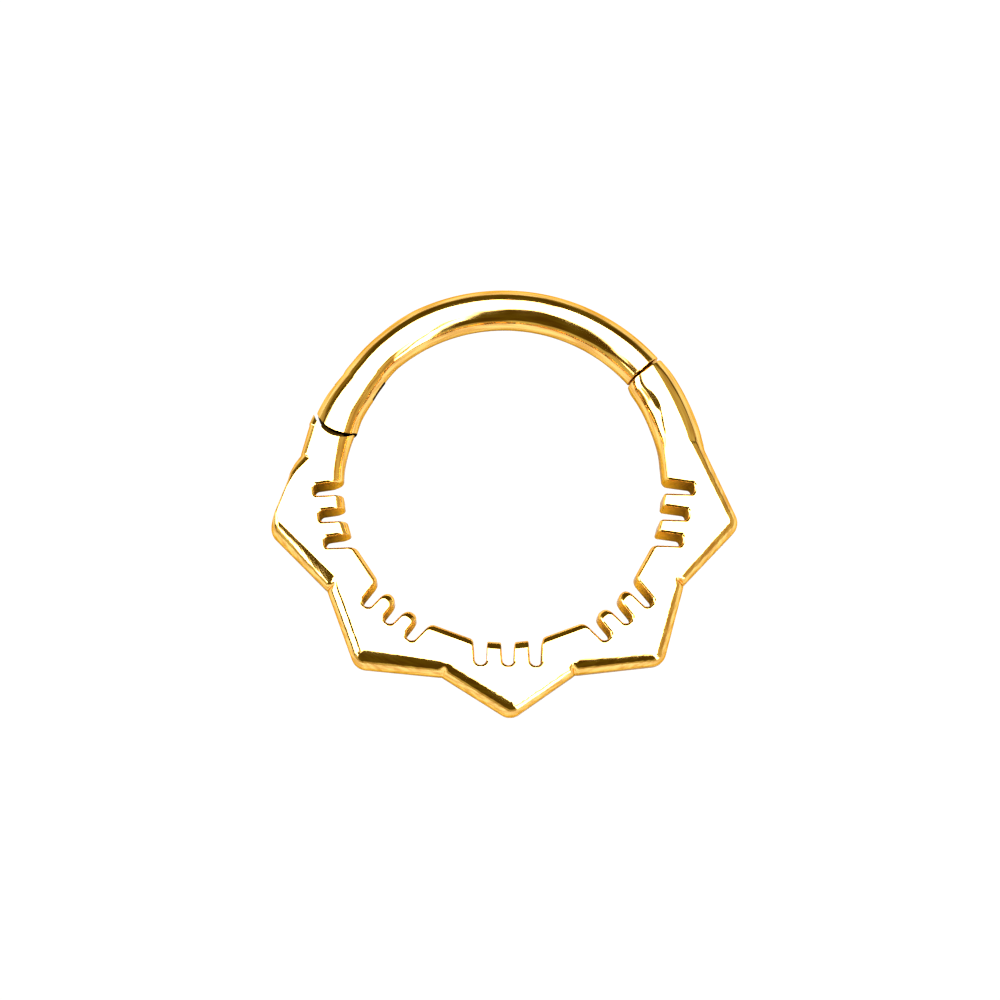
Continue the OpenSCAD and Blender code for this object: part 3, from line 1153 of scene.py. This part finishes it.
@dataclass
class HingedBar:
    """The round bar that closes the ring and passes through the piercing.

    Attributes:
        sizes: Shared sizes.
        finishes: Materials in the order of Finish.
        steps: Number of steps along the bar.
        around: Number of steps round its section.
        end_soft: Rounding of the edge at the closure.
        end_steps: Number of levels of that rounding.
        end_run: Angle past the hinge pin where the section of the bar's hinge end is taken.
        inside: Angles near the hinge and the bar's inner radius there.
        worn: Angles near the hinge and how much is worn off the bar's outside there.
        step: Depth of the small step in the outside, down towards the hinge.
        step_deg: Angle of that step.
        step_run: Softness of that step, as an angle.
        groove_deg: Angles of both ends of the short groove on the inside.
        groove_r: Radius of the bar's inside at the groove.
        groove_depth: Depth of the groove.
        groove_height: Its height.
        sharp_deg: Bend from which an edge is sharp.
    """

    sizes: Sizes
    finishes: list[bpy.types.Material]
    steps: int = 220
    around: int = 96
    end_soft: float = 0.03
    end_steps: int = 6
    end_run: float = 10.0
    inside: tuple[tuple[float, float], ...] = (
        (131, 5.0), (137, 4.95), (138, 4.92), (146, 4.86), (154, 4.86), (162, 4.80),
    )
    worn: tuple[tuple[float, float], ...] = (
        (116, 0), (122, 0.03), (128, 0.07), (134, 0.09), (140, 0.12), (144, 0.12), (148, 0.08),
        (152, 0.03), (157, 0),
    )
    step: float = 0.03
    step_deg: float = 143.5
    step_run: float = 0.35
    groove_deg: tuple[float, float] = (137.9, 145.8)
    groove_r: float = 4.88
    groove_depth: float = 0.09
    groove_height: float = 0.34
    sharp_deg: float = 30.0

    def section_radii(self, deg: np.ndarray) -> tuple[np.ndarray, np.ndarray]:
        """Gives the inner and outer radius of the bar along it.

        Near the hinge the inside comes further in, to meet the arm's, and the outside is worn down. The
        small step follows step / (1 + exp(-(deg - step_deg) / step_run)).

        Args:
            deg: Angles about the ring's centre.

        Returns:
            Inner and outer radii in millimetres.
        """
        inner = np.interp(deg, *np.array(self.inside).T)
        worn = np.interp(deg, *np.array(self.worn).T)
        step = self.step / (1 + np.exp(-(deg - self.step_deg) / self.step_run))
        return inner, self.sizes.inner_r + self.sizes.thick - worn - step

    def surface(self) -> np.ndarray:
        """Gives the points of the bar's surface, from the closure to the hinge.

        It is a function of the way along the bar and the angle s round its section: the plan radius is
        the section's middle + half its width cos(s), and the height half the thickness (1 + sin(s)).
        Each line along the bar ends where it meets the rounded end about the hinge pin. At the closure
        the section shrinks by end_soft (1 - sin(bend)) over a run of end_soft (1 - cos(bend)).

        Returns:
            Points of shape (rows along the bar, around, 3).
        """
        half = self.sizes.thick / 2
        s = np.linspace(0, 2 * math.pi, self.around, endpoint=False)
        start = self.sizes.close_deg + math.degrees(self.sizes.close_gap / (self.sizes.inner_r + half))
        hinge_in, hinge_out = self.section_radii(np.array(self.sizes.pin_deg + self.end_run))
        at_hinge = (hinge_in + hinge_out) / 2 + (hinge_out - hinge_in) / 2 * np.cos(s)
        end = self.sizes.seam_deg(at_hinge, self.sizes.knuckle_reach(at_hinge))
        bend = np.linspace(0, math.pi / 2, self.end_steps)
        shrink = self.end_soft * (1 - np.sin(bend))
        lead = np.degrees(self.end_soft * (1 - np.cos(bend)) / (self.sizes.inner_r + half))
        run = np.linspace(0, 1, self.steps)[1:]
        first = start + lead[-1]
        closure = np.repeat((start + lead)[:, None], self.around, axis=1)
        deg = np.vstack([closure, first + run[:, None] * (end[None] - first)])
        less = np.concatenate([shrink, np.zeros(len(run))])[:, None]
        inner, outer = self.section_radii(deg)
        radius = (inner + outer) / 2 + ((outer - inner) / 2 - less) * np.cos(s)
        height = half + (half - less) * np.sin(s)
        return np.concatenate([polar(radius, deg), height[..., None]], axis=-1)

    def build(self) -> bpy.types.Object:
        """Builds the bar: its surface, a disc at the closure and upright faces at the hinge, then carved.

        Returns:
            The bar's object.
        """
        points = self.surface()
        quads = grid_faces(len(points), self.around, False, True)
        # Each is cut in two flat triangles, because the fork leaves slivers on warped faces
        sides = np.vstack([quads[:, (0, 1, 2)], quads[:, (0, 2, 3)]])
        disc = list(range(self.around))[::-1]
        closing = self.knuckle_faces(len(points))
        # The upright faces at the hinge take the darkest painted shade
        finishes = np.repeat(
            [Finish.POLISHED.value, Finish.SHADED.value], [len(sides) + 1, len(closing)]
        )
        faces = [*sides.tolist(), disc, *closing.tolist()]
        blank = make_mesh("bar", points.reshape(-1, 3), faces, finishes)
        tools = [
            (Carve.CUT, self.fork()),
            (Carve.CUT, pin_drill(self.sizes)),
            (Carve.CUT, self.groove()),
            (Carve.JOIN, catch_block(self.sizes, 0.0)),
        ]
        mesh = carved(blank, tools, self.finishes)
        shade(mesh, self.sharp_deg)
        return show("bar", mesh, "bar", "hinged_bar")

    def knuckle_faces(self, rows: int) -> np.ndarray:
        """Gives the faces of the rounded end, which join each point to the one straight below it.

        The first and the last have one point twice, so they are triangles.

        Args:
            rows: Number of rows along the bar.

        Returns:
            Point numbers of shape (faces, 4).
        """
        i = np.arange(self.around // 2)
        upper = [i, i + 1]
        lower = [(self.around - i - 1) % self.around, (self.around - i) % self.around]
        return (rows - 1) * self.around + np.stack([*upper, *lower], axis=1)

    def fork(self) -> bpy.types.Mesh:
        """Makes the shape of the gap that takes the hinge's tongue, closed towards the ring's inside."""
        sizes = self.sizes
        turn = sizes.tongue_deg
        reach = sizes.tongue_w / 2 + sizes.fork_fit
        past = 2.0
        ahead, out = polar(1.0, turn), polar(1.0, turn - 90)
        back = arc(sizes.pin, reach, turn - 270, turn - 180)
        sides = sizes.pin + np.array(
            [past * out - reach * ahead, past * out + past * ahead, past * ahead - reach * out]
        )
        return inner_prism("fork", np.vstack([back, sides]), sizes, sizes.tongue_t / 2 + sizes.tongue_fit)

    def groove(self) -> bpy.types.Mesh:
        """Makes the shape of the short groove on the inside, whose walls take painted shade, so it shows
        dark.
        """
        inside, steps = 4.6, 12
        start, end = self.groove_deg
        centre = np.zeros(2)
        near_side = arc(centre, inside, start, end, steps)
        far_side = arc(centre, self.groove_r + self.groove_depth, end, start, steps)
        outline = np.vstack([near_side, far_side])[::-1]
        return inner_prism("groove", outline, self.sizes, self.groove_height / 2)


@dataclass
class HingePin:
    """The pin of the hinge, which the frame already holds at its true shape.

    Attributes:
        finish: Material of the pin.
    """

    finish: bpy.types.Material

    def dress(self) -> None:
        """Gives the pin its material."""
        pin = frame["nodes"]["hinge_pin"]
        for slot in pin.material_slots:
            slot.material = self.finish
        LOG.info("hinge_pin: dressed")


def sky(azimuth: np.ndarray | float, zenith: np.ndarray | float) -> np.ndarray:
    """Gives directions of the sky.

    Args:
        azimuth: Angles counted from +X.
        zenith: Angles from straight above.

    Returns:
        Unit vectors, along the last axis.
    """
    flat = polar(np.sin(np.radians(zenith)), azimuth)
    return np.concatenate([flat, np.cos(np.radians(zenith))[..., None]], axis=-1)


@dataclass(frozen=True)
class Card:
    """A light panel or dark card of the studio, as a patch of the sky with straight sides.

    Attributes:
        corners: Azimuth and angle from straight above of each corner, in order round the card.
        colour: Its colour.
        glow: How much brighter than that colour it is.
        soft: Width of its blurred border in degrees.
    """

    corners: tuple[tuple[float, float], ...]
    colour: str
    glow: float = 1.0
    soft: float = 4.0

    def sides(self) -> np.ndarray:
        """Gives, for each side, the unit vector that points from its plane into the card."""
        points = sky(*np.array(self.corners, dtype=float).T)
        across = unit(np.cross(points, np.roll(points, -1, axis=0)))
        return across * np.sign(across @ unit(points.mean(axis=0)))[:, None]


WHITE = "#FFFFFF"
SAND = "#D6C48C"
TAN = "#A89050"
BROWN = "#8E7E30"
DARK = "#5C4F0A"
LAMP = 11.0


def studio_cards() -> tuple[Card, ...]:
    """Gives the cards and lamps of the studio, each laid over the ones before it."""
    border, step = 48.0, 30
    overhead = tuple((float(azimuth), border) for azimuth in range(0, 360, step))
    return (
        # On the bar's side, a white strip near the table, then a brown card and dark ones
        Card(((5, 84), (60, 84), (60, 97), (5, 97)), WHITE, 1.0, 3.0),
        Card(((44, 42), (44, 86), (90, 90), (132, 88), (146, 68), (152, 42)), BROWN),
        Card(((44, 70), (66, 42), (136, 42), (133, 60), (124, 83), (90, 83), (58, 82), (44, 80)), DARK),
        Card(((26, 79), (48, 71), (60, 82), (26, 83)), DARK, 1.0, 3.0),
        Card(((128, 44), (158, 44), (158, 62), (128, 66)), DARK),
        # To the right, a pale card with two lines on it
        Card(((-48, 46), (20, 46), (20, 92), (-48, 92)), SAND),
        Card(((-48, 55), (-20, 53), (14, 53), (14, 56), (-20, 56), (-48, 58)), BROWN, 1.0, 2.0),
        Card(((-48, 70), (-20, 68), (14, 68), (14, 71), (-20, 71), (-48, 73)), BROWN, 1.0, 2.0),
        # Overhead, the large lamp that the level faces show
        Card(overhead, WHITE, LAMP, 3.0),
        # In front, dark cards, partly over that lamp
        Card(((-90, 2), (-143, 52), (-105, 62), (-70, 50)), DARK),
        Card(((-140, 46), (-150, 40), (-158, 38), (-158, 60), (-140, 57)), DARK),
        Card(((-142, 50), (-139, 64), (-133, 74), (-95, 77), (-56, 78), (-62, 54)), DARK),
        # To the left, two lamps with a dark card above and below them
        Card(((-144, 60), (-142, 65), (-161, 65), (-161, 60)), WHITE, LAMP, 2.0),
        Card(((-162, 42), (160, 42), (160, 76), (-160, 76)), WHITE, LAMP),
        Card(((-146, 31), (160, 31), (160, 47), (-173, 48), (-146, 45)), DARK, 1.0, 2.0),
        Card(((-156, 76), (170, 76), (170, 97), (-156, 97)), DARK, 1.0, 2.0),
        # In front on the right, a tall lamp with two tan strips across it
        Card(((-68, 40), (-46, 40), (-40, 90), (-55, 92)), WHITE, LAMP, 5.0),
        Card(((-67, 28), (-60, 28), (-55, 52), (-60, 53)), TAN, 1.0, 2.0),
        Card(((-60, 50), (-55, 50), (-38, 78), (-45, 80)), TAN, 1.0, 2.0),
    )


def split_view(
    tree: bpy.types.NodeTree, lit: bpy.types.Node, seen: bpy.types.Node
) -> bpy.types.NodeSocket:
    """Gives the second shader where the camera looks straight at it, and the first one elsewhere."""
    camera = add_node(tree, "ShaderNodeLightPath").outputs["Is Camera Ray"]
    return add_node(
        tree, "ShaderNodeMixShader", {0: camera, 1: lit.outputs[0], 2: seen.outputs[0]}
    ).outputs[0]


@dataclass
class Studio:
    """The lit table, the surroundings and the camera.

    Attributes:
        table_glow: Brightness of the table for the camera, which is exposed for it.
        table_grey: Share of light that its surface scatters onto the metal.
        table_reach: How far the table reaches each way, in millimetres.
        table_drop: How far it lies below the ring, in millimetres.
        room_colour: Colour of the room between the cards.
        cards: The cards, each laid over the ones before it.
        distance: Distance of the camera in millimetres.
        tilt: Angle of the camera towards -Y from straight above.
        side: Angle of the camera towards +X.
        roll: Turn of the picture, counter-clockwise.
        focal_px: Focal length in pixels of the picture.
        picture_px: Side of the picture in pixels.
        centre_px: Where the ring's centre lies in the picture.
        sensor_mm: Width of the camera's sensor.
    """

    table_glow: float = 1.05
    table_grey: float = 0.24
    table_reach: float = 400.0
    table_drop: float = 0.002
    room_colour: str = "#CEC48E"
    cards: tuple[Card, ...] = field(default_factory=studio_cards)
    distance: float = 60.0
    tilt: float = 12.4
    side: float = -1.6
    roll: float = 0.82
    focal_px: float = 1968.0
    picture_px: float = 1000.0
    centre_px: tuple[float, float] = (505.3, 487.2)
    sensor_mm: float = 36.0

    def lay_table(self) -> None:
        """Lays the table under the ring: a pale sheet that the camera sees as plain white."""
        side = self.table_reach * MM
        corners = [(-side, -side, 0), (side, -side, 0), (side, side, 0), (-side, side, 0)]
        mesh = bpy.data.meshes.new("table")
        mesh.from_pydata(corners, [], [(0, 1, 2, 3)])
        material = new_material("pale_sheet")
        tree = material.node_tree
        grey = (self.table_grey, self.table_grey, self.table_grey, 1.0)
        scatter = add_node(tree, "ShaderNodeBsdfDiffuse", {"Color": grey})
        bright = {"Color": linear_rgb(WHITE), "Strength": self.table_glow}
        glow = add_node(tree, "ShaderNodeEmission", bright)
        add_node(tree, "ShaderNodeOutputMaterial", {"Surface": split_view(tree, scatter, glow)})
        mesh.materials.append(material)
        table = bpy.data.objects.new("table", mesh)
        table.location.z = -self.table_drop * MM
        bpy.context.scene.collection.objects.link(table)

    def light_room(self) -> None:
        """Builds the surroundings, one card over the other, and plain white where the camera sees them."""
        world = bpy.data.worlds.new("studio")
        bpy.context.scene.world = world
        world.use_nodes = True
        tree = world.node_tree
        tree.nodes.clear()
        way = add_node(tree, "ShaderNodeTexCoord").outputs["Generated"]
        level = linear_rgb(self.room_colour)
        for card in self.cards:
            level = self.lay_card(tree, card, way, level)
        lit = add_node(tree, "ShaderNodeBackground", {"Color": level})
        plain = add_node(tree, "ShaderNodeBackground", {"Color": linear_rgb(WHITE)})
        add_node(tree, "ShaderNodeOutputWorld", {"Surface": split_view(tree, lit, plain)})

    def lay_card(
        self,
        tree: bpy.types.NodeTree,
        card: Card,
        way: bpy.types.NodeSocket,
        under: bpy.types.NodeSocket | tuple[float, ...],
    ) -> bpy.types.NodeSocket:
        """Lays one card over the colour of the room.

        A direction lies on the card where it is on the inner side of the planes through all its sides.

        Args:
            tree: Node tree of the surroundings.
            card: The card.
            way: Direction that is looked up.
            under: Colour so far.

        Returns:
            Colour with the card.
        """
        soft = math.radians(card.soft) / 2
        mask = None
        for side in card.sides():
            depth = add_node(
                tree, "ShaderNodeVectorMath", {0: way, 1: tuple(side)}, operation="DOT_PRODUCT"
            )
            span = {"Value": depth.outputs["Value"], "From Min": -soft, "From Max": soft}
            part = add_node(tree, "ShaderNodeMapRange", span).outputs["Result"]
            if mask is not None:
                part = add_node(tree, "ShaderNodeMath", {0: mask, 1: part}, operation="MULTIPLY").outputs[0]
            mask = part
        bright = (*(card.glow * v for v in linear_rgb(card.colour)[:3]), 1.0)
        mixed = add_node(
            tree, "ShaderNodeMix", {"Factor": mask, "A": under, "B": bright}, data_type="RGBA"
        )
        return mixed.outputs["Result"]

    def place_camera(self) -> None:
        """Places the camera at the angle of the photograph."""
        middle = np.array([0.0, 0.0, float(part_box("petal_plate")[1][2]) / MM / 2])
        tilt, side, roll = (math.radians(v) for v in (self.tilt, self.side, self.roll))
        away = np.array(
            [math.sin(side), -math.sin(tilt) * math.cos(side), math.cos(tilt) * math.cos(side)]
        )
        eye = middle + self.distance * away
        ahead = -away
        right = np.cross(ahead, [0.0, 1.0, 0.0])
        right /= np.linalg.norm(right)
        up = np.cross(right, ahead)
        turned_right = math.cos(roll) * right - math.sin(roll) * up
        turned_up = math.sin(roll) * right + math.cos(roll) * up
        data = bpy.data.cameras.new("camera")
        data.sensor_width = self.sensor_mm
        data.lens = self.focal_px / self.picture_px * data.sensor_width
        data.shift_x = 0.5 - self.centre_px[0] / self.picture_px
        data.shift_y = self.centre_px[1] / self.picture_px - 0.5
        data.clip_start = 1 * MM
        camera = bpy.data.objects.new("camera", data)
        camera.matrix_world = Matrix.Translation(Vector(eye * MM)) @ Matrix(
            np.stack([turned_right, turned_up, away], axis=1).tolist()
        ).to_4x4()
        bpy.context.scene.collection.objects.link(camera)
        bpy.context.scene.camera = camera

    def build(self) -> None:
        """Sets up the table, the surroundings, the camera and the view."""
        self.lay_table()
        self.light_room()
        self.place_camera()
        bpy.context.scene.view_settings.view_transform = "Standard"
        LOG.info("studio: %d cards", len(self.cards))


def main() -> None:
    """Builds the ring and its studio."""
    logging.basicConfig(level=logging.INFO, format="%(name)s %(message)s")
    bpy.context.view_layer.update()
    sizes = Sizes()
    gold = PolishedGoldCoating().build("polished_gold_coating")
    # Slot walls: rough grain, with painted shade that darkens them towards the slots' ends
    rough_gold_with_painted_shade = UnpolishedGoldWithPaintedShade().build("unpolished_gold_with_painted_shade")
    # The walls inside the hinge and the closure get a darker painted shade than the slots, so that the seams
    # look dark
    painted_shade_gold = UnpolishedGoldWithPaintedShade("#3A2606", "#180E02").build("painted_shade_gold_coating")
    finishes = [gold, rough_gold_with_painted_shade, painted_shade_gold]
    PetalPlate(sizes, finishes).build()
    HingedBar(sizes, finishes).build()
    HingePin(gold).dress()
    Studio().build()


if __name__ == "__main__":
    main()
